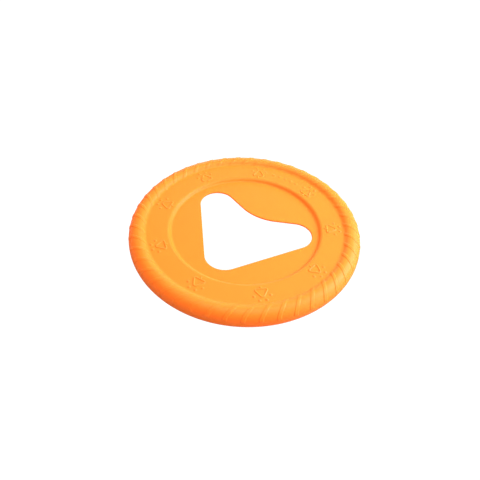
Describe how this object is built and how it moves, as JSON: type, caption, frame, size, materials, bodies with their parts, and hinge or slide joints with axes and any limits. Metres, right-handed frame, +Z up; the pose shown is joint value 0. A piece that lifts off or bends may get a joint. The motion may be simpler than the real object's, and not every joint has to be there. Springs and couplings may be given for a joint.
{
  "type": "flying disc",
  "caption": "Soft rubber fetch disc with a curled rim with a ribbed tread, a flat band of paw prints and a rounded triangular grip hole through its recessed centre.",
  "frame": {"origin": "centre of the disc, on the plane that its rim rests on", "axes": "+Z up along the disc's centre line; +Y from the grip hole's rounded corner to its hollow side"},
  "size_m": [0.221, 0.221, 0.0194],
  "materials": {
    "orange_rubber": "satin moulded"
  },
  "bodies": {
    "root": {"centre_plate": "orange_rubber", "flight_band": "orange_rubber", "rim_shoulder": "orange_rubber", "rim_crown": "orange_rubber", "rim_lip": "orange_rubber", "tread_sector_1": "orange_rubber", "tread_sector_2": "orange_rubber", "tread_sector_3": "orange_rubber", "tread_sector_4": "orange_rubber", "tread_sector_5": "orange_rubber", "tread_sector_6": "orange_rubber", "tread_sector_7": "orange_rubber", "tread_sector_8": "orange_rubber", "tread_sector_9": "orange_rubber", "paw_print_1": "orange_rubber", "paw_print_2": "orange_rubber", "paw_print_3": "orange_rubber", "paw_print_4": "orange_rubber", "paw_print_5": "orange_rubber", "paw_print_6": "orange_rubber", "paw_print_7": "orange_rubber", "paw_print_8": "orange_rubber", "paw_print_9": "orange_rubber", "dot_row": "orange_rubber"}
  },
  "joints": []
}
